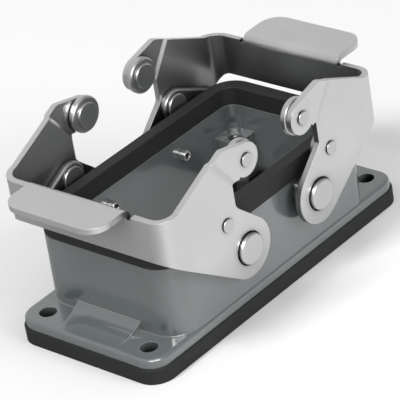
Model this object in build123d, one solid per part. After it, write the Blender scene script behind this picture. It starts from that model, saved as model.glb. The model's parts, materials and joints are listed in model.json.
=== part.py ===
"""Panel base of a heavy duty rectangular connector with two locking levers.

Millimetres, Z up. X is the long way, Y the short way. The origin is the middle of the hole
pattern on the underside of the flange gasket. Left is -X, right is +X, front is -Y, rear is +Y.
"""
from build123d import *
import math
import os

# Fixing holes and flange
HOLE_SPACING_X = 83.0
HOLE_SPACING_Y = 32.0
HOLE_R = 2.2
HOLE_MARGIN_X = 5.0
HOLE_MARGIN_Y = 6.0
FLANGE_CORNER_R = 5.0
FLANGE_T = 2.5
FLANGE_EDGE_R = 1.0

# Flange gasket
GASKET_T = 4.0
GASKET_LIP = 0.5
GASKET_EDGE_R = 0.4
GASKET_HOLE_EXTRA = 0.3
GASKET_OPENING_EXTRA = 0.6

# Housing walls above the flange
BODY_SETBACK_X = 4.5
BODY_SETBACK_Y = 0.5
BODY_CORNER_R = 7.0
BODY_HEIGHT = 18.1
BODY_DRAFT = 1.1
FOOT_R = 0.4
END_WALL = 4.0
SIDE_WALL = 3.6
OPENING_CORNER_R = 3.6
OPENING_DRAFT = 0.7

# Shallow concave ramps at the foot of the end walls
COVE_REACH = 7.7
COVE_HEIGHT = 2.45
COVE_HALF_WIDTH = 9.9
COVE_END_SLOPE = 0.09

# Bosses for the contact insert
INSERT_INSET_X = 4.5
INSERT_INSET_Y = 4.4
INSERT_BOSS_R = 2.7
INSERT_BOSS_HEIGHT = 11.4
INSERT_THREAD_R = 1.65
INSERT_THREAD_DEPTH = 9.0

# Rim seal
SEAL_HEIGHT = 5.0
SEAL_OVERHANG = 0.1
SEAL_EDGE_R = 0.35
RIB_T = 1.4
RIB_HEIGHT = 3.0
RIB_ROOT = 0.5
RIB_FIT = 0.05

# Lever sheet and pivots
SHEET_T = 1.5
PIVOT_FROM_END = 23.6
PIVOT_HEIGHT = 13.55
LEG_GAP = 2.7
PIVOT_BOSS_R = 4.2
FACE_GAP = 0.1
STUD_HEAD_R = 3.85
STUD_HEAD_RISE = 1.1
STUD_HEAD_EDGE_R = 0.5
RECESS_R = 4.25
RECESS_DEPTH = 0.6
STUD_SHOULDER_R = 3.0
STUD_SHANK_R = 1.3
STUD_INNER_END = 1.8
STUD_BORE_R = 0.75
STUD_BORE_DEPTH = 1.6
PIVOT_CLEARANCE = 0.05
FIXED_CLEARANCE = 0.02

# Lever shape, from the pivot axis: across is toward the middle, up is up
PIVOT_END_R = 7.5
CROSSBAR_ACROSS = -26.3
CROSSBAR_LOW = 9.5
CROSSBAR_TOP = 20.05
CROSSBAR_BEND_R = 5.0
LEG_TOP = (-4.5, 28.35)
LEG_TOP_R = 2.0
TIP = (2.9, 22.35)
TIP_R = 4.2
NOTCH_END_R = 1.1
NOTCH_END = (-1.15, 17.75)
NOTCH_LOW = (-1.6, 11.6)
NOTCH_LOW_R = 1.2
BEND_RISE = 0.55
JOG_MIDDLE = (-5.8, 23.1)
JOG_ANGLE = -52.9
JOG_WIDTH = 0.9
JOG_DEPTH = 0.6

# Grip tab on the crossbar
TAB_HALF_WIDTH = 14.7
TAB_REACH = 10.6
TAB_TOP = 21.75
TAB_BEND_R = 0.8
TAB_CORNER_R = 5.0
TAB_RELIEF = 1.2
TAB_ROOT = 2.0
RELIEF_HEIGHT = 10.0

# Hook rollers and their pins
ROLLER_R = 4.6
ROLLER_T = 1.7
ROLLER_EDGE_R = 0.55
ROLLER_PIN_R = 1.6
ROLLER_CLEARANCE = 0.05
ROLLER_SIDE_GAP = 0.05
PIN_HEAD_R = 3.2
PIN_HEAD_T = 0.5
PIN_HEAD_EDGE_R = 0.35
DIMPLE_R = 1.15
DIMPLE_DEPTH = 0.8

# Stiffener arms on the inner side of the legs
ARM_PIN = (-5.97, 9.5)
ARM_R = 4.3
ARM_T = 1.7
ARM_END = (-19.6, 6.3)
ARM_END_R = 1.2
ARM_EDGE_R = 0.7

# How far a cutter or a joined piece runs past the face that it meets
OVERCUT = 1.0

# Sizes that follow from the ones above
FLANGE_LENGTH = HOLE_SPACING_X + 2 * HOLE_MARGIN_X
FLANGE_WIDTH = HOLE_SPACING_Y + 2 * HOLE_MARGIN_Y
FLANGE_TOP = GASKET_T + FLANGE_T
BODY_LENGTH = HOLE_SPACING_X - 2 * BODY_SETBACK_X
BODY_WIDTH = FLANGE_WIDTH - 2 * BODY_SETBACK_Y
OPENING_LENGTH = BODY_LENGTH - 2 * END_WALL
OPENING_WIDTH = BODY_WIDTH - 2 * SIDE_WALL
INSERT_SPACING_X = OPENING_LENGTH - 2 * INSERT_INSET_X
INSERT_SPACING_Y = OPENING_WIDTH - 2 * INSERT_INSET_Y
PIVOT_X = BODY_LENGTH / 2 - PIVOT_FROM_END
RIM_Z = FLANGE_TOP + BODY_HEIGHT
SEAL_TOP = RIM_Z + SEAL_HEIGHT
BODY_SHRINK = BODY_HEIGHT * math.tan(math.radians(BODY_DRAFT))
OPENING_SHRINK = (BODY_HEIGHT + FLANGE_T) * math.tan(math.radians(OPENING_DRAFT))
SEAL_LENGTH = BODY_LENGTH - 2 * BODY_SHRINK + 2 * SEAL_OVERHANG
SEAL_WIDTH = BODY_WIDTH - 2 * BODY_SHRINK + 2 * SEAL_OVERHANG
PIVOT_Z = FLANGE_TOP + PIVOT_HEIGHT
LEG_IN = BODY_WIDTH / 2 + LEG_GAP
LEG_OUT = LEG_IN + SHEET_T
TIP_IN = LEG_IN + JOG_DEPTH
TIP_OUT = TIP_IN + SHEET_T
INNER_WALL_Y = OPENING_WIDTH / 2
ARM_IN = LEG_IN - ARM_T
ROLLER_OUT = TIP_IN - ROLLER_SIDE_GAP
ROLLER_IN = ROLLER_OUT - ROLLER_T


def slab(length, width, radius, bottom, height, taper=0):
    """Rounded rectangle, centred on the Z axis, standing on the given height."""
    outline = Pos(0, 0, bottom) * RectangleRounded(length, width, radius)
    return extrude(outline, amount=height, taper=taper)


def peg(x, z, y_from, y_to, radius):
    """Cylinder along Y between two Y positions."""
    middle = (y_from + y_to) / 2
    return Pos(x, middle, z) * Rot(90, 0, 0) * Cylinder(radius, abs(y_to - y_from))


def sideways(outline, y_from, y_to):
    """Extrude an outline drawn as across and up along Y, from the left pivot axis."""
    middle = (y_from + y_to) / 2
    half = abs(y_to - y_from) / 2
    solid = extrude(outline, amount=half, both=True)
    return Pos(-PIVOT_X, middle, PIVOT_Z) * Rot(90, 0, 0) * solid


def round_rim(solid, y, radius):
    """Round the circular edges that lie in the plane at the given Y."""
    edges = [e for e in solid.edges() if abs(e.center().Y - y) < 0.001 and e.geom_type == GeomType.CIRCLE]
    return fillet(edges, radius)


def four(x, y):
    """The four places that mirror one point about both middle planes."""
    return [(x, y), (-x, y), (-x, -y), (x, -y)]


def flange():
    plate = slab(FLANGE_LENGTH, FLANGE_WIDTH, FLANGE_CORNER_R, GASKET_T, FLANGE_T)
    rim = plate.faces().sort_by(Axis.Z)[-1].outer_wire().edges()
    return fillet(rim, FLANGE_EDGE_R)


def cove(side):
    """Shallow concave ramp between the end wall and the flange, narrower at its outer end."""
    wall = BODY_LENGTH / 2
    low = FLANGE_TOP - OVERCUT
    end = (wall + COVE_REACH, FLANGE_TOP)
    top = (wall, FLANGE_TOP + COVE_HEIGHT)
    radius = (COVE_REACH**2 + COVE_HEIGHT**2) / (2 * COVE_HEIGHT)
    back = wall - OVERCUT
    lines = Polyline((back, low), (end[0], low), end)
    arc = RadiusArc(end, top, radius)
    rest = Polyline(top, (back, top[1]), (back, low))
    outline = make_face([lines, arc, rest])
    solid = Rot(90, 0, 0) * extrude(outline, amount=COVE_HALF_WIDTH + OVERCUT, both=True)
    outer = COVE_HALF_WIDTH - COVE_REACH * COVE_END_SLOPE
    inner = COVE_HALF_WIDTH + OVERCUT * COVE_END_SLOPE
    plan = Polyline((back, -inner), (end[0], -outer), (end[0], outer), (back, inner), (back, -inner))
    solid &= Pos(0, 0, low) * extrude(make_face(plan), amount=COVE_HEIGHT + 2 * OVERCUT)
    return solid if side > 0 else mirror(solid, about=Plane.YZ)


def foot_edges(solid):
    """Edges where the walls of the body meet the flange."""
    found = []
    for edge in solid.edges():
        box = edge.bounding_box()
        flat = box.max.Z < FLANGE_TOP + 0.01 and box.min.Z > FLANGE_TOP - FLANGE_EDGE_R / 2
        inside = box.max.X < BODY_LENGTH / 2 + 0.01 and box.min.X > -BODY_LENGTH / 2 - 0.01
        if flat and inside and max(abs(box.max.Y), abs(box.min.Y)) < BODY_WIDTH / 2 + 0.01:
            found.append(edge)
    return found


def insert_boss(x, y):
    """Corner boss that reaches into both walls, with the threaded hole in its own step."""
    wall_x = OPENING_LENGTH / 2 + OVERCUT
    wall_y = OPENING_WIDTH / 2 + OVERCUT
    sx = math.copysign(1, x)
    sy = math.copysign(1, y)
    long_x = wall_x - abs(x)
    long_y = wall_y - abs(y)
    outline = Pos(x, y) * Circle(INSERT_BOSS_R)
    outline += Pos(x + sx * long_x / 2, y + sy * (long_y - INSERT_BOSS_R) / 2) * Rectangle(
        long_x, long_y + INSERT_BOSS_R
    )
    outline += Pos(x + sx * (long_x - INSERT_BOSS_R) / 2, y + sy * long_y / 2) * Rectangle(
        long_x + INSERT_BOSS_R, long_y
    )
    height = INSERT_BOSS_HEIGHT + FLANGE_T
    return Pos(0, 0, GASKET_T) * extrude(outline, amount=height)


def rim_rib(extra=0.0):
    """Tongue on the rim that the seal sits over."""
    mid_l = (SEAL_LENGTH + OPENING_LENGTH) / 2
    mid_w = (SEAL_WIDTH + OPENING_WIDTH) / 2
    mid_r = (BODY_CORNER_R + OPENING_CORNER_R) / 2
    grow = RIB_T / 2 + extra
    outline = RectangleRounded(mid_l + 2 * grow, mid_w + 2 * grow, mid_r + grow)
    outline -= RectangleRounded(mid_l - 2 * grow, mid_w - 2 * grow, mid_r - grow)
    low = RIB_ROOT if extra == 0 else 0.0
    return Pos(0, 0, RIM_Z - low) * extrude(outline, amount=RIB_HEIGHT + low + extra)


def housing():
    body = flange()
    body += slab(BODY_LENGTH, BODY_WIDTH, BODY_CORNER_R, FLANGE_TOP, BODY_HEIGHT, BODY_DRAFT)
    body += slab(BODY_LENGTH, BODY_WIDTH, BODY_CORNER_R, GASKET_T, FLANGE_T)
    body = fillet(foot_edges(body), FOOT_R)
    body += cove(1) + cove(-1)
    for x, y in four(PIVOT_X, 1):
        boss = peg(x, PIVOT_Z, y * (BODY_WIDTH / 2 - OVERCUT), y * (LEG_IN - FACE_GAP), PIVOT_BOSS_R)
        body += round_rim(boss, y * (LEG_IN - FACE_GAP), STUD_HEAD_EDGE_R)
    floor_l = OPENING_LENGTH - 2 * OPENING_SHRINK
    floor_w = OPENING_WIDTH - 2 * OPENING_SHRINK
    floor_r = OPENING_CORNER_R - OPENING_SHRINK
    height = BODY_HEIGHT + FLANGE_T
    body -= slab(floor_l, floor_w, floor_r, GASKET_T, height, -OPENING_DRAFT)
    for x, y in four(INSERT_SPACING_X / 2, INSERT_SPACING_Y / 2):
        body += insert_boss(x, y)
    boss_top = FLANGE_TOP + INSERT_BOSS_HEIGHT
    for x, y in four(INSERT_SPACING_X / 2, INSERT_SPACING_Y / 2):
        drill = Cylinder(INSERT_THREAD_R, 2 * INSERT_THREAD_DEPTH)
        body -= Pos(x, y, boss_top) * drill
    for x, y in four(HOLE_SPACING_X / 2, HOLE_SPACING_Y / 2):
        body -= Pos(x, y, GASKET_T) * Cylinder(HOLE_R, 4 * FLANGE_T)
    for x in (PIVOT_X, -PIVOT_X):
        body -= peg(x, PIVOT_Z, -LEG_OUT, LEG_OUT, STUD_SHANK_R + FIXED_CLEARANCE)
    return body + rim_rib()


def flange_gasket():
    length = FLANGE_LENGTH + 2 * GASKET_LIP
    width = FLANGE_WIDTH + 2 * GASKET_LIP
    ring = slab(length, width, FLANGE_CORNER_R + GASKET_LIP, 0, GASKET_T)
    ring = fillet(ring.faces().sort_by(Axis.Z)[-1].outer_wire().edges(), GASKET_EDGE_R)
    open_l = OPENING_LENGTH - 2 * OPENING_SHRINK + 2 * GASKET_OPENING_EXTRA
    open_w = OPENING_WIDTH - 2 * OPENING_SHRINK + 2 * GASKET_OPENING_EXTRA
    ring -= slab(open_l, open_w, OPENING_CORNER_R, -OVERCUT, GASKET_T + 2 * OVERCUT)
    for x, y in four(HOLE_SPACING_X / 2, HOLE_SPACING_Y / 2):
        ring -= Pos(x, y) * Cylinder(HOLE_R + GASKET_HOLE_EXTRA, 3 * GASKET_T)
    return ring


def rim_seal():
    ring = slab(SEAL_LENGTH, SEAL_WIDTH, BODY_CORNER_R, RIM_Z, SEAL_HEIGHT)
    low = RIM_Z - OVERCUT
    ring -= slab(OPENING_LENGTH, OPENING_WIDTH, OPENING_CORNER_R, low, SEAL_HEIGHT + 2 * OVERCUT)
    ring = fillet(ring.faces().sort_by(Axis.Z)[-1].edges(), SEAL_EDGE_R)
    return ring - rim_rib(RIB_FIT)


def pivot_stud():
    """Front left stud, head outside, hollow end inside the housing."""
    head_in = LEG_OUT - RECESS_DEPTH + FACE_GAP
    head_out = LEG_OUT + STUD_HEAD_RISE
    head = peg(-PIVOT_X, PIVOT_Z, -head_in, -head_out, STUD_HEAD_R)
    head = round_rim(head, -head_out, STUD_HEAD_EDGE_R)
    shoulder = peg(-PIVOT_X, PIVOT_Z, -(LEG_IN - FACE_GAP), -head_in, STUD_SHOULDER_R)
    inner = INNER_WALL_Y - STUD_INNER_END
    shank = peg(-PIVOT_X, PIVOT_Z, -inner, -(LEG_IN - FACE_GAP), STUD_SHANK_R)
    bore = peg(-PIVOT_X, PIVOT_Z, OVERCUT - inner, -(inner + STUD_BORE_DEPTH), STUD_BORE_R)
    return head + shoulder + shank - bore


def tangent_point(point, radius, side):
    """Where a line from the point touches the circle of the radius about the pivot."""
    distance = math.hypot(*point)
    angle = math.atan2(point[1], point[0]) + side * math.acos(radius / distance)
    return (radius * math.cos(angle), radius * math.sin(angle))


def tip_tangent():
    """Where the line from the top corner of the leg touches the tip circle."""
    local = (LEG_TOP[0] - TIP[0], LEG_TOP[1] - TIP[1])
    touch = tangent_point(local, TIP_R, -1)
    return (touch[0] + TIP[0], touch[1] + TIP[1])


def leg_outline():
    """Side view of the left lever, from the pivot axis."""
    low = (CROSSBAR_ACROSS, CROSSBAR_LOW)
    top = (CROSSBAR_ACROSS, CROSSBAR_TOP)
    bottom_touch = tangent_point(low, PIVOT_END_R, 1)
    notch_touch = tangent_point(NOTCH_LOW, PIVOT_END_R, -1)
    notch_side = (NOTCH_END[0] - NOTCH_END_R, NOTCH_END[1])
    bend = (CROSSBAR_ACROSS + CROSSBAR_BEND_R, CROSSBAR_TOP + BEND_RISE)
    points = [
        bottom_touch,
        low,
        top,
        bend,
        LEG_TOP,
        tip_tangent(),
        TIP,
        NOTCH_END,
        notch_side,
        (notch_side[0], NOTCH_LOW[1] + OVERCUT),
        NOTCH_LOW,
        notch_touch,
        (0, 0),
        bottom_touch,
    ]
    outline = make_face(Polyline(*points))
    outline += Circle(PIVOT_END_R)
    outline += Pos(*TIP) * Circle(TIP_R)
    outline -= Pos(*NOTCH_END) * Circle(NOTCH_END_R)
    corner = outline.vertices().sort_by_distance(Vector(*LEG_TOP))[0]
    outline = fillet(corner, LEG_TOP_R)
    corner = outline.vertices().sort_by_distance(Vector(*NOTCH_LOW))[0]
    return fillet(corner, NOTCH_LOW_R)


def jog_direction():
    """Direction of the jog line, down toward the notch, as across and up."""
    angle = math.radians(JOG_ANGLE)
    return (math.cos(angle), math.sin(angle))


def beyond_jog(offset):
    """Half plane on the tip side of the jog line, moved by the offset."""
    across, up = jog_direction()
    size = 60.0
    reach = offset + size / 2
    centre = (JOG_MIDDLE[0] - up * reach, JOG_MIDDLE[1] + across * reach)
    return Pos(*centre) * Rot(0, 0, JOG_ANGLE) * Rectangle(size, size)


def jog_strip():
    """Slanted strip of sheet that joins the leg to the tip, front side."""
    across, up = jog_direction()
    origin = (JOG_MIDDLE[0] - PIVOT_X, 0, JOG_MIDDLE[1] + PIVOT_Z)
    plane = Plane(origin=origin, x_dir=(-up, 0, across), z_dir=(across, 0, up))
    section = make_face(
        Polyline(
            (0, LEG_IN),
            (0, LEG_OUT),
            (JOG_WIDTH, TIP_OUT),
            (JOG_WIDTH, TIP_IN),
            (0, LEG_IN),
        )
    )
    return extrude(plane * section, amount=30, both=True)


def crossbar_underside():
    """Cutter that keeps the lower edge of the crossbar and its bends square to the sheet."""
    inner_r = CROSSBAR_BEND_R - SHEET_T
    low = (CROSSBAR_ACROSS, CROSSBAR_LOW)
    touch = tangent_point(low, PIVOT_END_R, 1)
    slope = (touch[1] - low[1]) / (touch[0] - low[0])
    side = []
    for step in range(7):
        turn = math.radians(15 * step)
        y = LEG_OUT - CROSSBAR_BEND_R + inner_r * math.sin(turn)
        inward = CROSSBAR_BEND_R * (1 - math.cos(turn))
        side.append((y, CROSSBAR_LOW + slope * inward))
    floor = CROSSBAR_LOW - CROSSBAR_BEND_R
    other = [(-y, z) for y, z in reversed(side)]
    end = side[-1][0]
    outline = make_face(Polyline(*side, (end, floor), (-end, floor), *other, side[0]))
    cutter = extrude(Plane.YZ * outline, amount=CROSSBAR_BEND_R)
    return Pos(CROSSBAR_ACROSS - PIVOT_X, 0, PIVOT_Z) * cutter


def leg_tip(outline):
    """Front tip of the left lever, set outward from the leg."""
    flat = sideways(outline & beyond_jog(JOG_WIDTH), -TIP_IN, -TIP_OUT)
    strip = jog_strip() & sideways(outline, -LEG_IN, -TIP_OUT)
    return flat + strip


def grip_tab():
    """Tab bent outward from the top of the left crossbar."""
    inner = CROSSBAR_ACROSS + SHEET_T
    outer_r = TAB_BEND_R + SHEET_T
    centre = (CROSSBAR_ACROSS - TAB_BEND_R, TAB_TOP - outer_r)
    end = CROSSBAR_ACROSS - TAB_REACH
    root = centre[1] - TAB_ROOT
    inner_line = Line((inner, root), (inner, centre[1]))
    upper_arc = RadiusArc((inner, centre[1]), (centre[0], TAB_TOP), -outer_r)
    flat = Polyline(
        (centre[0], TAB_TOP),
        (end, TAB_TOP),
        (end, TAB_TOP - SHEET_T),
        (centre[0], TAB_TOP - SHEET_T),
    )
    lower_arc = RadiusArc(
        (centre[0], TAB_TOP - SHEET_T), (CROSSBAR_ACROSS, centre[1]), TAB_BEND_R
    )
    close = Polyline((CROSSBAR_ACROSS, centre[1]), (CROSSBAR_ACROSS, root), (inner, root))
    outline = make_face([inner_line, upper_arc, flat, lower_arc, close])
    tab = sideways(outline, -TAB_HALF_WIDTH, TAB_HALF_WIDTH)
    ends = [
        e
        for e in tab.edges().filter_by(Axis.Z)
        if abs(e.center().X - (end - PIVOT_X)) < 0.01
    ]
    return fillet(ends, TAB_CORNER_R)


def left_lever():
    outline = leg_outline()
    reach = PIVOT_X - CROSSBAR_ACROSS
    band = RectangleRounded(2 * reach, 2 * LEG_OUT, CROSSBAR_BEND_R)
    band -= RectangleRounded(2 * reach - 2 * SHEET_T, 2 * LEG_IN, CROSSBAR_BEND_R - SHEET_T)
    band = extrude(band, amount=2 * PIVOT_Z + 40)
    side = sideways(outline - beyond_jog(0), -LEG_OUT, LEG_OUT)
    lever = band & side
    tip = leg_tip(outline)
    lever += tip + mirror(tip, about=Plane.XZ)
    bend_start = TAB_TOP - TAB_BEND_R - SHEET_T
    relief_z = PIVOT_Z + bend_start + RELIEF_HEIGHT / 2
    relief = Pos(CROSSBAR_ACROSS - PIVOT_X, 0, relief_z) * Box(
        4 * SHEET_T, 2 * (TAB_HALF_WIDTH + TAB_RELIEF), RELIEF_HEIGHT
    )
    lever = lever - crossbar_underside() - relief + grip_tab()
    through = TIP_OUT + OVERCUT
    pivot = peg(-PIVOT_X, PIVOT_Z, -through, through, STUD_SHOULDER_R + PIVOT_CLEARANCE)
    pivot += peg(-PIVOT_X, PIVOT_Z, -through, RECESS_DEPTH - LEG_OUT, RECESS_R)
    pivot += peg(-PIVOT_X, PIVOT_Z, through, LEG_OUT - RECESS_DEPTH, RECESS_R)
    tip_x = TIP[0] - PIVOT_X
    arm_x = ARM_PIN[0] - PIVOT_X
    tip_hole = peg(tip_x, TIP[1] + PIVOT_Z, -through, through, ROLLER_PIN_R + FIXED_CLEARANCE)
    arm_hole = peg(arm_x, ARM_PIN[1] + PIVOT_Z, -through, through, ROLLER_PIN_R + FIXED_CLEARANCE)
    return lever - pivot - tip_hole - arm_hole


def headed_pin(x, z, head_in, head_out, end):
    """Pin with a flat head inside and a round dimple in the end flush with the outer face."""
    head = peg(x, z, -head_in, -head_out, PIN_HEAD_R)
    head = round_rim(head, -head_in, PIN_HEAD_EDGE_R)
    shaft = peg(x, z, -head_out, -end, ROLLER_PIN_R)
    ball_r = (DIMPLE_R**2 + DIMPLE_DEPTH**2) / (2 * DIMPLE_DEPTH)
    dimple = Pos(x, DIMPLE_DEPTH - end - ball_r, z) * Sphere(ball_r)
    return head + shaft - dimple


def hook_roller():
    x = TIP[0] - PIVOT_X
    z = TIP[1] + PIVOT_Z
    disc = peg(x, z, -ROLLER_IN, -ROLLER_OUT, ROLLER_R)
    disc = round_rim(disc, -ROLLER_IN, ROLLER_EDGE_R)
    disc = round_rim(disc, -ROLLER_OUT, ROLLER_EDGE_R / 2)
    return disc - peg(x, z, OVERCUT - ROLLER_IN, -ROLLER_OUT - OVERCUT, ROLLER_PIN_R + ROLLER_CLEARANCE)


def roller_pin():
    head_out = ROLLER_IN - ROLLER_SIDE_GAP
    return headed_pin(
        TIP[0] - PIVOT_X, TIP[1] + PIVOT_Z, head_out - PIN_HEAD_T, head_out, TIP_OUT
    )


def stiffener_arm():
    """Flat arm with a round end about its rivet and a narrow end at the crossbar bend."""
    outline = make_hull(
        [*(Pos(*ARM_PIN) * Circle(ARM_R)).edges(), *(Pos(*ARM_END) * Circle(ARM_END_R)).edges()]
    )
    arm = sideways(outline, -ARM_IN, -LEG_IN)
    inner_face = arm.faces().sort_by(Axis.Y)[-1]
    arm = fillet(inner_face.edges(), ARM_EDGE_R)
    x = ARM_PIN[0] - PIVOT_X
    z = ARM_PIN[1] + PIVOT_Z
    return arm - peg(x, z, OVERCUT - ARM_IN, -LEG_IN - OVERCUT, ROLLER_PIN_R + FIXED_CLEARANCE)


def arm_rivet():
    return headed_pin(
        ARM_PIN[0] - PIVOT_X, ARM_PIN[1] + PIVOT_Z, ARM_IN - PIN_HEAD_T, ARM_IN, LEG_OUT
    )


def four_copies(name, solid):
    """The front left piece and its copies in the other three corners, with their names."""
    return {
        "left_front_" + name: solid,
        "left_rear_" + name: mirror(solid, about=Plane.XZ),
        "right_front_" + name: mirror(solid, about=Plane.YZ),
        "right_rear_" + name: Rot(0, 0, 180) * solid,
    }


def all_pieces():
    lever = left_lever()
    pieces = {
        "housing": housing(),
        "flange_gasket": flange_gasket(),
        "rim_seal": rim_seal(),
        "left_lever": lever,
        "right_lever": mirror(lever, about=Plane.YZ),
    }
    pieces.update(four_copies("pivot_stud", pivot_stud()))
    pieces.update(four_copies("hook_roller", hook_roller()))
    pieces.update(four_copies("roller_pin", roller_pin()))
    pieces.update(four_copies("stiffener_arm", stiffener_arm()))
    pieces.update(four_copies("arm_rivet", arm_rivet()))
    return pieces


os.makedirs("parts", exist_ok=True)
for piece_name, piece in all_pieces().items():
    export_step(piece, "parts/" + piece_name + ".step")
    size = piece.bounding_box().size
    print(piece_name, round(piece.volume, 1), [round(v, 2) for v in size])
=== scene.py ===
# %% [markdown]
# # A connector base with two locking levers
# A machine builder bolts this base to a panel, pushes a plug hood onto it and swings the two steel
# levers over the hood's pegs. The shapes of the casting, the seals and the levers come from the
# CAD frame. Blender adds the finishes, the small rolled and threaded details, and the studio.

# %% Load the frame
import json
import math

import bpy
import numpy as np
from mathutils import Matrix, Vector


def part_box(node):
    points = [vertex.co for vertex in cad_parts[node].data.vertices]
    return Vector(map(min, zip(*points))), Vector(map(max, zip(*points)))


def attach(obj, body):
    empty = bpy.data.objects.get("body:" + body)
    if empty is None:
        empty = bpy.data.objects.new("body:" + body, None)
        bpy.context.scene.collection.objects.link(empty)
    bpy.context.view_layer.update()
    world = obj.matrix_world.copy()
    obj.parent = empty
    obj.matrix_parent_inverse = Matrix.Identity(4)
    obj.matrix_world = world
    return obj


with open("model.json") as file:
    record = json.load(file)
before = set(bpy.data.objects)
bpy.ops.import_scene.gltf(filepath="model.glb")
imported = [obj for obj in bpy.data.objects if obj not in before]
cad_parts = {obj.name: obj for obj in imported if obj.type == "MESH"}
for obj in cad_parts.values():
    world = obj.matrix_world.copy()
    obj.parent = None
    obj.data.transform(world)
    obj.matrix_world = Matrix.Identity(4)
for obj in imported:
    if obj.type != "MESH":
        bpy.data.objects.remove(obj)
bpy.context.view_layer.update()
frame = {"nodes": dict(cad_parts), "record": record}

nodes = frame["nodes"]
MM = 0.001

# %% [markdown]
# ## Places that the details hang on
# Every detail below sits on a CAD piece, so its place is read from that piece's own box. The middle
# of a round piece's box is a point on its axis, and the ends of the box give its faces.


# %% Read the places
def span(node):
    """Lowest corner, highest corner and middle of a CAD node, as numpy arrays in metres."""
    low, high = (np.array(corner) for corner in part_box(node))
    return low, high, (low + high) / 2


CORNERS = ["left_front", "left_rear", "right_front", "right_rear"]
print("stud axis", span("left_front_pivot_stud")[2].round(4))

# %% [markdown]
# ## Shared effects as node groups
# A finish that several materials use is built once as a group: it puts out masks, heights and
# colours, and each material sets its own values. The groups read object coordinates, which are
# metres here, so a pattern keeps its real size and stays on the piece when a lever turns.


# %% Helpers for node trees
def add(tree, kind, links=None, **settings):
    """A node of the kind, with its settings and its inputs: a socket is linked, a value is set."""
    node = tree.nodes.new(kind)
    for name, value in settings.items():
        setattr(node, name, value)
    for name, value in (links or {}).items():
        if isinstance(value, bpy.types.NodeSocket):
            tree.links.new(value, node.inputs[name])
        else:
            node.inputs[name].default_value = value
    return node


def new_group(name, inputs, outputs):
    """A shader node group with named sockets; returns the tree, its input node and output node."""
    tree = bpy.data.node_groups.new(name, "ShaderNodeTree")
    for label, kind, value in inputs:
        socket = tree.interface.new_socket(label, in_out="INPUT", socket_type=kind)
        if value is not None:
            socket.default_value = value
    for label, kind in outputs:
        tree.interface.new_socket(label, in_out="OUTPUT", socket_type=kind)
    return tree, tree.nodes.new("NodeGroupInput"), tree.nodes.new("NodeGroupOutput")


FLOAT, COLOUR, VECTOR = "NodeSocketFloat", "NodeSocketColor", "NodeSocketVector"


def math_node(tree, operation, first, second=0.0, clamp=False):
    """One step of arithmetic; returns its result socket."""
    node = add(tree, "ShaderNodeMath", {0: first, 1: second}, operation=operation)
    node.use_clamp = clamp
    return node.outputs[0]


def between(tree, factor, low, high):
    """A value that goes from low to high as the factor goes from 0 to 1."""
    node = add(tree, "ShaderNodeMapRange", {"Value": factor, "To Min": low, "To Max": high})
    return node.outputs["Result"]


def blend_colours(tree, factor, first, second):
    """A colour that goes from the first to the second as the factor goes from 0 to 1."""
    node = tree.nodes.new("ShaderNodeMix")
    node.data_type = "RGBA"
    for number, value in ((0, factor), (6, first), (7, second)):
        if isinstance(value, bpy.types.NodeSocket):
            tree.links.new(value, node.inputs[number])
        else:
            node.inputs[number].default_value = value
    return node.outputs[2]


print("helpers for node trees:", add.__name__, new_group.__name__, blend_colours.__name__)

# %% [markdown]
# ### Paler corners: wear and painted highlight
# Where hands and tools rub a corner, it turns paler, and a rounded corner also catches a thin
# highlight. Both are painted here as one paler colour, so the paler corner is partly wear and partly
# a painted highlight. A mask painted by hand fits one piece only. A rounded normal differs from the
# true one just at the corners, so comparing the two finds them on every piece, and a noise breaks
# the line up.


# %% Edge group: where a corner of the piece is painted paler, as wear and as a painted highlight
def make_edge_group():
    """Mask = how far the rounded normal leans away from the true one, times a patchy noise."""
    tree, given, out = new_group(
        "edge_wear_and_highlight",
        [("Radius", FLOAT, 0.3 * MM), ("Patch size", FLOAT, 900.0)],
        [("Mask", FLOAT), ("Normal", VECTOR)],
    )
    rounded = add(tree, "ShaderNodeBevel", {"Radius": given.outputs["Radius"]}, samples=6)
    flat = tree.nodes.new("ShaderNodeNewGeometry")
    lean = add(
        tree,
        "ShaderNodeVectorMath",
        {0: rounded.outputs[0], 1: flat.outputs["Normal"]},
        operation="DOT_PRODUCT",
    )
    bent = math_node(tree, "SUBTRACT", 1.0, lean.outputs["Value"])
    strong = math_node(tree, "MULTIPLY", bent, 6.0, clamp=True)
    place = tree.nodes.new("ShaderNodeTexCoord")
    patch = add(
        tree,
        "ShaderNodeTexNoise",
        {"Vector": place.outputs["Object"], "Scale": given.outputs["Patch size"], "Detail": 3.0},
    )
    patchy = math_node(tree, "MULTIPLY", strong, patch.outputs["Fac"])
    tree.links.new(patchy, out.inputs["Mask"])
    tree.links.new(rounded.outputs[0], out.inputs["Normal"])
    return tree


edge_group = make_edge_group()
print("group", edge_group.name)


# %% [markdown]
# ### Skin of paint and rubber
# Neither is quite flat. Ripples in the mesh would need millions of faces, while a noise that is read
# as a height and goes to a Bump node costs almost nothing and keeps its size on every piece.


# %% Skin group: the faint ripple of paint or moulded rubber
def make_skin_group():
    """Height = fine noise plus a slower swell; Tone = a slow noise between 0 and 1."""
    tree, given, out = new_group(
        "surface_skin",
        [("Fine scale", FLOAT, 2500.0), ("Slow scale", FLOAT, 120.0)],
        [("Height", FLOAT), ("Tone", FLOAT)],
    )
    place = tree.nodes.new("ShaderNodeTexCoord").outputs["Object"]
    fine = add(
        tree,
        "ShaderNodeTexNoise",
        {"Vector": place, "Scale": given.outputs["Fine scale"], "Detail": 2.0},
    )
    slow = add(
        tree,
        "ShaderNodeTexNoise",
        {"Vector": place, "Scale": given.outputs["Slow scale"], "Detail": 4.0},
    )
    swell = math_node(tree, "MULTIPLY", slow.outputs["Fac"], 0.6)
    height = math_node(tree, "ADD", fine.outputs["Fac"], swell)
    tree.links.new(height, out.inputs["Height"])
    tree.links.new(slow.outputs["Fac"], out.inputs["Tone"])
    return tree


skin_group = make_skin_group()
print("group", skin_group.name)


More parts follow.
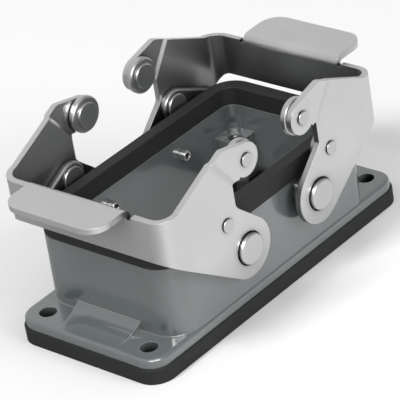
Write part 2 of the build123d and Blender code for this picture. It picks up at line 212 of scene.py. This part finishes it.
# %% [markdown]
# ### Grain of steel
# Rolled sheet and turned pins have fine lines along one direction. A picture of brushed steel would
# repeat. Coordinates that are squeezed along that direction draw each spot of a noise out into a
# long streak, at any length.


# %% Grain group: rolling lines of bright sheet
def make_grain_group():
    """Lines = noise on coordinates squeezed along one axis, so each spot becomes a long streak."""
    tree, given, out = new_group(
        "rolled_grain",
        [("Scale", FLOAT, 900.0), ("Stretch", VECTOR, (0.06, 1.0, 1.0))],
        [("Lines", FLOAT), ("Cloud", FLOAT)],
    )
    place = tree.nodes.new("ShaderNodeTexCoord").outputs["Object"]
    squeezed = add(
        tree,
        "ShaderNodeVectorMath",
        {0: place, 1: given.outputs["Stretch"]},
        operation="MULTIPLY",
    )
    lines = add(
        tree,
        "ShaderNodeTexNoise",
        {"Vector": squeezed.outputs[0], "Scale": given.outputs["Scale"], "Detail": 5.0},
    )
    cloud = add(tree, "ShaderNodeTexNoise", {"Vector": place, "Scale": 70.0, "Detail": 3.0})
    tree.links.new(lines.outputs["Fac"], out.inputs["Lines"])
    tree.links.new(cloud.outputs["Fac"], out.inputs["Cloud"])
    return tree


grain_group = make_grain_group()
print("group", grain_group.name)


# %% [markdown]
# ### Painted shade in narrow places
# Narrow gaps and hollows get painted shade: their colour is darkened towards black where little
# light reaches. Painting that by hand would need a map for every piece. Ambient occlusion measures
# how open each point is, so one group darkens every gap by itself, and the same group with a longer
# reach darkens the inside of the housing. The feet of the insert bosses get more painted shade than
# their openness gives, so a second group marks them by their place.


# %% Corner group: painted shade where two faces close to each other keep the light out
def make_painted_shade_group():
    """Shade = Darkest where little sky is seen within the distance, 1 once the Full share is seen."""
    tree, given, out = new_group(
        "painted_corner_shade",
        [("Distance", FLOAT, 1.2 * MM), ("Darkest", FLOAT, 0.2), ("Full", FLOAT, 1.0)],
        [("Shade", FLOAT)],
    )
    sky_seen = add(
        tree, "ShaderNodeAmbientOcclusion", {"Distance": given.outputs["Distance"]}, samples=8
    )
    squared = math_node(tree, "POWER", sky_seen.outputs["AO"], 2.0)
    shade = add(
        tree,
        "ShaderNodeMapRange",
        {
            "Value": squared,
            "From Max": given.outputs["Full"],
            "To Min": given.outputs["Darkest"],
            "To Max": 1.0,
        },
    )
    tree.links.new(shade.outputs["Result"], out.inputs["Shade"])
    return tree


painted_shade_group = make_painted_shade_group()
print("group", painted_shade_group.name)


# %% Deep group: painted shade at the feet of the insert bosses, where hardly any light reaches
def fade(tree, value, start, end):
    """1 up to the start, 0 from the end on, and a straight slope between them."""
    node = add(tree, "ShaderNodeMapRange", {"Value": value, "From Min": start, "From Max": end})
    node.inputs["To Min"].default_value, node.inputs["To Max"].default_value = 1.0, 0.0
    return node.outputs["Result"]


# Each pair: where the mask is still full, and where it is gone.
LOW_Z, OUTER_X = (6.2 * MM, 8.5 * MM), (26.0 * MM, 22.0 * MM)
INSIDE_X, INSIDE_Y = (35.0 * MM, 36.0 * MM), (18.5 * MM, 19.5 * MM)


def make_painted_deep_shade_group():
    """Painted shade mask = low in the housing, times inside its walls, times out near its four
    corners.
    """
    tree, _, out = new_group("painted_deep_shade", [], [("Mask", FLOAT)])
    place = tree.nodes.new("ShaderNodeTexCoord").outputs["Object"]
    axis = add(tree, "ShaderNodeSeparateXYZ", {0: place}).outputs
    along, across = (math_node(tree, "ABSOLUTE", axis[name]) for name in ("X", "Y"))
    mask = fade(tree, axis["Z"], *LOW_Z)
    for distance, pair in ((across, INSIDE_Y), (along, INSIDE_X), (along, OUTER_X)):
        mask = math_node(tree, "MULTIPLY", mask, fade(tree, distance, *pair))
    tree.links.new(mask, out.inputs["Mask"])
    return tree


painted_deep_shade_group = make_painted_deep_shade_group()
print("group", painted_deep_shade_group.name)


# %% [markdown]
# ### What the shiny faces see
# A photographer stands pale and dark boards round shiny steel, and the steel shows them. Modelled
# boards would also light the dull faces. Instead one group turns a direction into a grey tone, and
# only the sky and the floor use it, for the rays that a shiny face sends out.


# %% Studio group: how bright the studio looks in a shiny face, by direction
def tone_ramp(tree, place, stops):
    """A colour ramp through grey tones; stops are pairs of place and tone."""
    ramp = tree.nodes.new("ShaderNodeValToRGB")
    tree.links.new(place, ramp.inputs[0])
    elements = ramp.color_ramp.elements
    elements[0].position, elements[1].position = stops[0][0], stops[-1][0]
    for where, tone in stops[1:-1]:
        elements.new(where).color = (tone, tone, tone, 1)
    elements[0].color = (stops[0][1],) * 3 + (1,)
    elements[-1].color = (stops[-1][1],) * 3 + (1,)
    return ramp.outputs["Color"]


TONES_BELOW = [(0.0, 0.22), (0.2, 0.27), (0.35, 0.48), (0.46, 0.77)]
TONES_BELOW += [(0.56, 0.72), (0.75, 0.8), (1.0, 0.94)]
TONES_ABOVE = [(0.0, 0.6), (0.3, 0.66), (0.52, 0.66), (0.75, 0.4), (1.0, 0.12)]
BRIGHT_SIDE = (0.74, -0.67, 0.0)


def make_studio_group():
    """Tone = one ramp below the horizon and one above it, along the lean to the bright side."""
    tree, given, out = new_group("studio_tone", [("Direction", VECTOR, None)], [("Tone", COLOUR)])
    unit = add(
        tree, "ShaderNodeVectorMath", {0: given.outputs["Direction"]}, operation="NORMALIZE"
    )
    lean = add(
        tree,
        "ShaderNodeVectorMath",
        {0: unit.outputs[0], 1: BRIGHT_SIDE},
        operation="DOT_PRODUCT",
    )
    place = add(tree, "ShaderNodeMapRange", {"Value": lean.outputs["Value"], "From Min": -1.0})
    place = place.outputs["Result"]
    below, above = tone_ramp(tree, place, TONES_BELOW), tone_ramp(tree, place, TONES_ABOVE)
    height = tree.nodes.new("ShaderNodeSeparateXYZ")
    tree.links.new(unit.outputs[0], height.inputs[0])
    up = add(
        tree,
        "ShaderNodeMapRange",
        {"Value": height.outputs["Z"], "From Min": -0.1, "From Max": 0.25},
    )
    tree.links.new(blend_colours(tree, up.outputs["Result"], below, above), out.inputs["Tone"])
    return tree


studio_group = make_studio_group()
print("group", studio_group.name)


# %% [markdown]
# ## Finishes
# The casting is a smooth grey paint with a clear gloss, the levers and pins are satin steel, and
# the gasket and the rim seal are black rubber. Each material starts with the same skeleton: a
# Principled BSDF, the groups it needs and one Bump node for the heights. Materials copied from a
# library would hide how they work, and these few lines are shared by all of them.


# %% Helpers for materials
def new_material(name):
    """An empty node material; returns it, its tree and its Principled BSDF."""
    material = bpy.data.materials.new(name)
    material.use_nodes = True
    tree = material.node_tree
    tree.nodes.clear()
    shader = tree.nodes.new("ShaderNodeBsdfPrincipled")
    output = tree.nodes.new("ShaderNodeOutputMaterial")
    tree.links.new(shader.outputs[0], output.inputs["Surface"])
    return material, tree, shader


def use_group(tree, group, **values):
    """A group node with some of its inputs set; underscores in the names stand for spaces."""
    node = tree.nodes.new("ShaderNodeGroup")
    node.node_tree = group
    for name, value in values.items():
        node.inputs[name.replace("_", " ")].default_value = value
    return node


def bump(tree, height, distance, normal=None):
    """Turns a height, in units of the distance in metres, into a normal."""
    node = add(tree, "ShaderNodeBump", {"Height": height, "Distance": distance, "Strength": 1.0})
    if normal is not None:
        tree.links.new(normal, node.inputs["Normal"])
    return node.outputs["Normal"]


print("helpers for materials:", new_material.__name__, use_group.__name__, bump.__name__)

# %% [markdown]
# ### Paint of the casting
# The housing is a die casting with a smooth glossy coat. One flat grey would look like plastic, so
# a slow noise changes its tone a little and the skin group gives it a faint orange peel. The clear
# coat on top makes the sharp glints, and the paint below it the soft ones. Its corners are painted
# paler, partly as wear and partly as a painted highlight. Deep inside and at the feet of the insert
# bosses, painted shade darkens both the colour and the shine.


# %% Casting paint
PAINT_DARK, PAINT_LIGHT = (0.116, 0.131, 0.132, 1), (0.129, 0.145, 0.145, 1)
# The paler colour of the corners is partly wear and partly a painted highlight; black is the colour
# of the painted shade.
PAINT_WEAR_AND_HIGHLIGHT, BLACK = (0.6, 0.62, 0.62, 1), (0.0, 0.0, 0.0, 1)


def make_paint():
    """Grey paint: slow change of tone, corners paler for wear and painted highlight, faint orange
    peel, painted shade deep inside.
    """
    material, tree, shader = new_material("housing_paint")
    skin = use_group(tree, skin_group, Fine_scale=1400.0, Slow_scale=90.0)
    edge = use_group(tree, edge_group, Radius=0.25 * MM, Patch_size=600.0)
    body = blend_colours(tree, skin.outputs["Tone"], PAINT_DARK, PAINT_LIGHT)
    colour = blend_colours(tree, edge.outputs["Mask"], body, PAINT_WEAR_AND_HIGHLIGHT)
    # Painted shade: occlusion and the mask of the boss feet darken the colour towards black and dim
    # the shine.
    inside = use_group(tree, painted_shade_group, Distance=20.0 * MM, Darkest=0.03, Full=0.1)
    deep = use_group(tree, painted_deep_shade_group)
    above = between(tree, deep.outputs["Mask"], 1.0, 0.04)
    light = math_node(tree, "MULTIPLY", inside.outputs["Shade"], above)
    shaded = blend_colours(tree, light, BLACK, colour)
    tree.links.new(shaded, shader.inputs["Base Color"])
    shine = between(tree, light, 0.05, 0.5)
    tree.links.new(shine, shader.inputs["Specular IOR Level"])
    tree.links.new(between(tree, skin.outputs["Tone"], 0.12, 0.18), shader.inputs["Roughness"])
    normal = bump(tree, skin.outputs["Height"], 0.003 * MM, edge.outputs["Normal"])
    tree.links.new(normal, shader.inputs["Normal"])
    shader.inputs["IOR"].default_value = 1.9
    shader.inputs["Coat Weight"].default_value = 0.95
    shader.inputs["Coat Roughness"].default_value = 0.04
    return material


paint = make_paint()
print("material", paint.name)


# %% [markdown]
# ### Steel of the levers and pins
# The levers are stamped from bright sheet, and the studs, rollers and pins are turned. They differ
# in tone, in dullness and in the direction of their grain, but not in kind, so one function makes
# all four from a table of values.


# %% Steel, in the shades of the levers, studs, rollers and pins
# Paler colour of the corners, partly wear and partly a painted highlight, and the near black of the
# painted shade.
STEEL_WEAR_AND_HIGHLIGHT, STEEL_SHADED = (0.85, 0.85, 0.85, 1), (0.01, 0.01, 0.01, 1)


def make_steel(name, grey, rough, stretch, grain_depth, darkest, cavity):
    """Satin steel: rolling lines in the roughness and bump, paler on its corners as wear and painted
    highlight.

    Darkest is the painted shade of a narrow gap, and cavity the painted shade of a deep hollow, 1 for
    none.
    """
    material, tree, shader = new_material(name)
    grain = use_group(tree, grain_group, Scale=1100.0, Stretch=stretch)
    edge = use_group(tree, edge_group, Radius=0.18 * MM, Patch_size=500.0)
    dark, light = (0.93 * grey,) * 3 + (1,), (1.05 * grey,) * 3 + (1,)
    tone = blend_colours(tree, grain.outputs["Cloud"], dark, light)
    bright = blend_colours(tree, edge.outputs["Mask"], tone, STEEL_WEAR_AND_HIGHLIGHT)
    # Painted shade: occlusion darkens the colour towards near black in narrow gaps and deep hollows.
    corner = use_group(tree, painted_shade_group, Distance=1.3 * MM, Darkest=darkest, Full=0.5)
    hollow = use_group(tree, painted_shade_group, Distance=25.0 * MM, Darkest=cavity)
    shade = math_node(tree, "MULTIPLY", corner.outputs["Shade"], hollow.outputs["Shade"])
    shaded = blend_colours(tree, shade, STEEL_SHADED, bright)
    tree.links.new(shaded, shader.inputs["Base Color"])
    shader.inputs["Metallic"].default_value = 1.0
    roughness = between(tree, grain.outputs["Lines"], rough - 0.05, rough + 0.05)
    tree.links.new(roughness, shader.inputs["Roughness"])
    normal = bump(tree, grain.outputs["Lines"], grain_depth, edge.outputs["Normal"])
    tree.links.new(normal, shader.inputs["Normal"])
    return material


# Grey, roughness, stretch of the grain, depth of the grain, painted shade of a narrow gap,
# painted shade of a deep hollow.
STEELS = {
    "lever_sheet": (0.77, 0.33, (0.08, 1.0, 1.0), 0.004 * MM, 0.03, 0.15),
    "stud_steel": (0.68, 0.36, (1.0, 0.1, 1.0), 0.003 * MM, 0.02, 1.0),
    "roller_steel": (0.68, 0.335, (1.0, 0.2, 1.0), 0.002 * MM, 0.15, 1.0),
    "pin_steel": (0.68, 0.335, (1.0, 0.1, 1.0), 0.002 * MM, 0.0, 1.0),
}
steels = {name: make_steel(name, *values) for name, values in STEELS.items()}
print("steels", *steels)


# %% [markdown]
# ### Rubber of the seal and the gasket
# Moulded rubber is nearly black and dull, and a little paler on its corners, partly as wear and
# partly as a painted highlight. It needs a rougher surface than paint and a coarser skin, and no
# clear coat.


# %% Rubber
# The paler colour of the corners, partly wear and partly a painted highlight.
RUBBER_WEAR_AND_HIGHLIGHT = (0.09, 0.09, 0.09, 1)


def make_rubber(name, dark, light, rough):
    """Black rubber: a fine moulded skin, a little paler and duller on its corners, as wear and
    painted highlight.
    """
    material, tree, shader = new_material(name)
    skin = use_group(tree, skin_group, Fine_scale=3200.0, Slow_scale=200.0)
    edge = use_group(tree, edge_group, Radius=0.3 * MM, Patch_size=900.0)
    body = blend_colours(tree, skin.outputs["Tone"], dark + (1,), light + (1,))
    colour = blend_colours(tree, edge.outputs["Mask"], body, RUBBER_WEAR_AND_HIGHLIGHT)
    tree.links.new(colour, shader.inputs["Base Color"])
    roughness = between(tree, skin.outputs["Tone"], rough, rough + 0.12)
    tree.links.new(roughness, shader.inputs["Roughness"])
    normal = bump(tree, skin.outputs["Height"], 0.012 * MM, edge.outputs["Normal"])
    tree.links.new(normal, shader.inputs["Normal"])
    shader.inputs["Specular IOR Level"].default_value = 0.4
    return material


seal_rubber = make_rubber("seal_rubber", (0.016, 0.016, 0.016), (0.021, 0.021, 0.021), 0.55)
gasket_rubber = make_rubber("gasket_rubber", (0.013, 0.014, 0.014), (0.02, 0.021, 0.021), 0.62)
print("rubbers", seal_rubber.name, gasket_rubber.name)

# %% [markdown]
# ### Which piece has which finish
# The record names a finish for each CAD piece, so one loop over the record dresses them all, and
# none is forgotten. The finish takes the place of the plain colour that came with the frame.

# %% Put each finish on its CAD pieces
FINISH = {"housing_paint": paint, "gasket_rubber": gasket_rubber, "seal_rubber": seal_rubber}
FINISH |= steels
for part in frame["record"]["subparts"]:
    mesh = nodes[part["node"]].data
    mesh.materials.clear()
    mesh.materials.append(FINISH[part["material_slot"]])

# %% [markdown]
# ## Small surfaces worked out with numpy
# A new piece is a grid of points: one parameter runs along it, the other round its section. The
# grid is one array, and the same few lines turn any such array into a mesh.


# %% A grid of points becomes a mesh
def grid_piece(name, points, body, slot, wrap_u=False, wrap_v=False):
    """Quads between neighbours of a (u, v, 3) array; a wrapped direction closes on itself."""
    count_u, count_v = points.shape[:2]
    number = np.arange(count_u * count_v).reshape(count_u, count_v)
    u = np.arange(count_u if wrap_u else count_u - 1)
    v = np.arange(count_v if wrap_v else count_v - 1)
    next_u, next_v = (u + 1) % count_u, (v + 1) % count_v
    faces = np.stack(
        [
            number[np.ix_(u, v)],
            number[np.ix_(next_u, v)],
            number[np.ix_(next_u, next_v)],
            number[np.ix_(u, next_v)],
        ],
        axis=-1,
    ).reshape(-1, 4)
    mesh = bpy.data.meshes.new(name)
    mesh.vertices.add(count_u * count_v)
    mesh.vertices.foreach_set("co", points.reshape(-1).astype(np.float32))
    mesh.loops.add(faces.size)
    mesh.loops.foreach_set("vertex_index", faces.reshape(-1).astype(np.int32))
    mesh.polygons.add(len(faces))
    mesh.polygons.foreach_set("loop_start", np.arange(0, faces.size, 4, dtype=np.int32))
    mesh.update(calc_edges=True)
    mesh.validate()
    mesh.polygons.foreach_set("use_smooth", np.ones(len(faces), dtype=bool))
    mesh.materials.append(FINISH[slot])
    piece = bpy.data.objects.new(name, mesh)
    bpy.context.scene.collection.objects.link(piece)
    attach(piece, body)
    return piece


print("helper for surfaces:", grid_piece.__name__)


# %% [markdown]
# ### Rolled ends of the pivot studs
# Inside the housing each stud shows a hollow end whose rim is rolled over. A torus of the rim's
# own thickness is the simplest round lip, and it sits half sunk in the end of the CAD stud.


# %% Stud lips
def ring(centre, radius, section, steps=48, round_steps=16):
    """Torus about an axis along Y: a circle of the section's radius carried round a larger one."""
    a = np.linspace(0, 2 * np.pi, steps, endpoint=False)[:, None]
    b = np.linspace(0, 2 * np.pi, round_steps, endpoint=False)[None, :]
    reach = radius + section * np.cos(b)
    points = np.stack([reach * np.cos(a), section * np.sin(b) + 0 * a, reach * np.sin(a)], axis=-1)
    return points + np.asarray(centre)


LIP_RADIUS, LIP_SECTION = 1.02 * MM, 0.3 * MM
for corner in CORNERS:
    low, high, middle = span(corner + "_pivot_stud")
    end_y = high[1] if middle[1] < 0 else low[1]
    grid_piece(
        corner + "_stud_lip",
        ring((middle[0], end_y, middle[2]), LIP_RADIUS, LIP_SECTION),
        "base",
        "stud_steel",
        wrap_u=True,
        wrap_v=True,
    )
print("stud lips at height", round(middle[2] / MM, 2), "mm")

# %% [markdown]
# ### Round ends of the pins and rivets
# Seen from outside, each pin and rivet ends in a small flat button with a rounded edge, and its
# rim stands a little free of the sheet, so the gap under it is dark, and the painted shade of the
# pin steel darkens it further. A lathe profile would meet in a pole at the middle. A disc pulled
# out of a square grid has no pole and no seam, and the profile only has to say how far out and how
# high each ring of the grid lies.


# %% Buttons
BUTTON_RADIUS, BUTTON_RISE, BUTTON_EDGE = 1.68 * MM, 0.5 * MM, 0.24 * MM
UNDERCUT, SINK = 0.45 * MM, 0.02 * MM
TOP_SHARE, EDGE_SHARE = 0.6, 0.88


def button(centre, outward, radius, rise, edge, steps=57):
    """Square grid pulled into a disc; a profile gives each ring its radius and its height.

    The profile runs out over the flat top, down a quarter circle and back under the rim. The two
    shares say how far out in the grid the top and the quarter circle end.
    """
    side = np.sin(np.linspace(-np.pi / 2, np.pi / 2, steps))
    u, v = np.meshgrid(side * outward, side, indexing="ij")
    x, z = u * np.sqrt(1 - v * v / 2), v * np.sqrt(1 - u * u / 2)
    ring_number = np.clip(np.sqrt(x * x + z * z), 1e-6, 1.0)
    turn = np.linspace(0, np.pi / 2, 9)
    reach = np.r_[0, radius - edge + edge * np.sin(turn), radius - UNDERCUT]
    height = np.r_[rise, rise - edge + edge * np.cos(turn), -SINK]
    number = np.r_[0, np.linspace(TOP_SHARE, EDGE_SHARE, len(turn)), 1]
    r = np.interp(ring_number, number, reach) / ring_number
    points = np.stack([r * x, outward * np.interp(ring_number, number, height), r * z], axis=-1)
    return points + np.asarray(centre)


for corner in CORNERS:
    for kind in ("roller_pin", "arm_rivet"):
        low, high, middle = span(corner + "_" + kind)
        outward = -1 if middle[1] < 0 else 1
        face_y = (low[1] if outward < 0 else high[1]) - SINK * outward
        grid_piece(
            corner + "_" + kind + "_button",
            button((middle[0], face_y, middle[2]), outward, BUTTON_RADIUS, BUTTON_RISE, BUTTON_EDGE),
            corner.split("_")[0] + "_lever",
            "pin_steel",
        )
print("buttons at |y|", round(abs(face_y) / MM, 2), "mm")

# %% [markdown]
# ### Threads in the insert bosses
# Four tapped holes take the screws of the contact insert. A thread is a zigzag profile that climbs
# by one pitch each turn, so the radius depends on height minus the climb: that is one formula, and
# a grid round the hole and down its depth shows it.


# %% Threads
def thread(x, y, top, turns, pitch, crest, root, steps=40, per_pitch=8):
    """Radius = a triangle wave of (height / pitch - angle / turn) between crest and root."""
    angle = np.linspace(0, 2 * np.pi, steps, endpoint=False)[:, None]
    drop = np.linspace(0, turns, turns * per_pitch + 1)[None, :]
    phase = (drop - angle / (2 * np.pi)) % 1.0
    radius = crest + (root - crest) * np.abs(2 * phase - 1)
    return np.stack(
        [x + radius * np.cos(angle), y + radius * np.sin(angle), top - drop * pitch + 0 * angle], -1
    )


SCREW_X, SCREW_Y, THREAD_TOP, TURNS = 28.5 * MM, 13.5 * MM, 17.6 * MM, 11
PITCH, CREST, ROOT = 0.7 * MM, 1.45 * MM, 1.66 * MM
for corner in CORNERS:
    side_x = -1 if corner.startswith("left") else 1
    side_y = -1 if corner.endswith("front") else 1
    grid_piece(
        corner + "_insert_thread",
        thread(side_x * SCREW_X, side_y * SCREW_Y, THREAD_TOP, TURNS, PITCH, CREST, ROOT),
        "base",
        "housing_paint",
        wrap_u=True,
    )
print("threads in", len(CORNERS), "bosses")

# %% [markdown]
# ## Studio
# The photograph is a clean studio picture on white. The floor is a large pale plane. Dull faces
# get a soft sky that is strongest in front of the long side, and shiny faces see the tones of the
# studio group. Low down these are bright towards the front right and dark towards the rear left,
# and high up it is the other way round. That gives the levers bright sides and darker ends.


# %% Floor
def make_floor(reach=1.5, drop=0.05 * MM, count=5):
    """A flat grid, twice the reach wide, just under the gasket."""
    side = np.linspace(-reach, reach, count)
    x, y = np.meshgrid(side, side, indexing="ij")
    points = np.stack([x, y, np.full_like(x, -drop)], -1).reshape(-1, 3)
    number = np.arange(count * count).reshape(count, count)
    faces = np.stack(
        [number[:-1, :-1], number[1:, :-1], number[1:, 1:], number[:-1, 1:]], -1
    ).reshape(-1, 4)
    mesh = bpy.data.meshes.new("studio_floor")
    mesh.from_pydata(points.tolist(), [], faces.tolist())
    material, tree, shader = new_material("studio_floor")
    skin = use_group(tree, skin_group, Fine_scale=300.0, Slow_scale=8.0)
    colour = blend_colours(tree, skin.outputs["Tone"], (0.9, 0.9, 0.9, 1), (0.92, 0.92, 0.92, 1))
    place = tree.nodes.new("ShaderNodeTexCoord").outputs["Object"]
    seen = tree.nodes.new("ShaderNodeGroup")
    seen.node_tree = studio_group
    tree.links.new(place, seen.inputs["Direction"])
    shiny = tree.nodes.new("ShaderNodeLightPath").outputs["Is Glossy Ray"]
    toned = blend_colours(tree, shiny, colour, seen.outputs["Tone"])
    tree.links.new(toned, shader.inputs["Base Color"])
    shader.inputs["Roughness"].default_value = 0.9
    mesh.materials.append(material)
    floor = bpy.data.objects.new("studio_floor", mesh)
    bpy.context.scene.collection.objects.link(floor)
    return floor


print("floor", make_floor().name)


# %% Sky light
SKY_LEAN = (0.25, -0.9, 0.3)
SKY_LOW, SKY_HIGH = 0.03, 0.82


def make_sky():
    """Strength for dull faces = a slope along the lean; shiny faces see the studio tones."""
    world = bpy.data.worlds.new("studio_sky")
    bpy.context.scene.world = world
    world.use_nodes = True
    tree = world.node_tree
    tree.nodes.clear()
    where = tree.nodes.new("ShaderNodeTexCoord").outputs["Generated"]
    lean = add(
        tree,
        "ShaderNodeVectorMath",
        {0: where, 1: SKY_LEAN},
        operation="DOT_PRODUCT",
    )
    soft = add(
        tree,
        "ShaderNodeMapRange",
        {"Value": lean.outputs["Value"], "From Min": -1.0, "To Min": SKY_LOW, "To Max": SKY_HIGH},
    )
    seen = tree.nodes.new("ShaderNodeGroup")
    seen.node_tree = studio_group
    tree.links.new(where, seen.inputs["Direction"])
    shiny = tree.nodes.new("ShaderNodeLightPath").outputs["Is Glossy Ray"]
    colour = blend_colours(tree, shiny, soft.outputs["Result"], seen.outputs["Tone"])
    background = add(tree, "ShaderNodeBackground", {"Color": colour, "Strength": 1.0})
    output = tree.nodes.new("ShaderNodeOutputWorld")
    tree.links.new(background.outputs[0], output.inputs["Surface"])
    return world


print("sky", make_sky().name)

# %% [markdown]
# ## Camera
# The camera was solved from the four fixing holes and the straight edges of the photograph: it
# looks down 30 degrees from the front left, rolled 10 degrees, through a long lens.


# %% Camera
def make_camera(place, azimuth, elevation, roll, lens):
    """Rotation columns are the camera's right, up and back directions, in world axes."""
    a, e, r = (math.radians(v) for v in (azimuth, elevation, roll))
    back = np.array([math.sin(a) * math.cos(e), -math.cos(a) * math.cos(e), math.sin(e)])
    right = np.cross(-back, [0, 0, 1])
    right /= np.linalg.norm(right)
    down = np.cross(-back, right)
    right, down = (
        math.cos(r) * right + math.sin(r) * down,
        math.cos(r) * down - math.sin(r) * right,
    )
    data = bpy.data.cameras.new("photo_camera")
    data.sensor_width = 36.0
    data.lens = lens
    data.clip_start = 0.01
    camera = bpy.data.objects.new("photo_camera", data)
    matrix = Matrix.Identity(4)
    for row in range(3):
        matrix[row][0], matrix[row][1], matrix[row][2] = right[row], -down[row], back[row]
        matrix[row][3] = place[row]
    camera.matrix_world = matrix
    bpy.context.scene.collection.objects.link(camera)
    bpy.context.scene.camera = camera
    return camera


CAMERA_PLACE = (-0.40115, -0.40016, 0.34613)
camera = make_camera(CAMERA_PLACE, azimuth=-45.0, elevation=30.0, roll=10.0, lens=245.43)
print("camera at", [round(v, 3) for v in camera.matrix_world.translation])

# %% [markdown]
# ## Lamps
# The shadow on the right of the photograph comes from a soft key light high on the left. A large
# box in front fills the long side. Neither shows in the steel, whose reflections are set by the
# studio tones. The narrow strip near the camera does the opposite: it adds only shine, as a small
# bright line on round edges and in the corners of the casting.


# %% Lamps
AIM = np.array([0.0, 0.0, 20.0 * MM])


def soft_box(name, place, size, power, in_gloss=False):
    """An area lamp that faces the part; it lights either dull faces or only the shine."""
    data = bpy.data.lights.new(name, "AREA")
    data.shape = "RECTANGLE"
    data.size, data.size_y, data.energy = size[0], size[1], power
    lamp = bpy.data.objects.new(name, data)
    back = np.array(place) - AIM
    back /= np.linalg.norm(back)
    right = np.cross([0, 0, 1], back)
    right /= np.linalg.norm(right)
    up = np.cross(back, right)
    lamp.matrix_world = Matrix(
        [[right[k], up[k], back[k], place[k]] for k in range(3)] + [[0, 0, 0, 1]]
    )
    lamp.visible_glossy, lamp.visible_diffuse = in_gloss, not in_gloss
    bpy.context.scene.collection.objects.link(lamp)
    return lamp


soft_box("glint_strip", (-0.40, -0.40, 0.44), (0.6, 0.05), 3.6, in_gloss=True)
soft_box("left_soft_box", (-0.62, 0.15, 1.0), (0.35, 0.35), 7.5)
soft_box("front_soft_box", (0.2, -1.6, 0.9), (0.9, 0.9), 14.0)
bpy.context.scene.view_settings.view_transform = "Standard"

# %% [markdown]
# ## Finish
# The view layer is updated once more, so that every piece and its parent are up to date.

# %% Finish
bpy.context.view_layer.update()
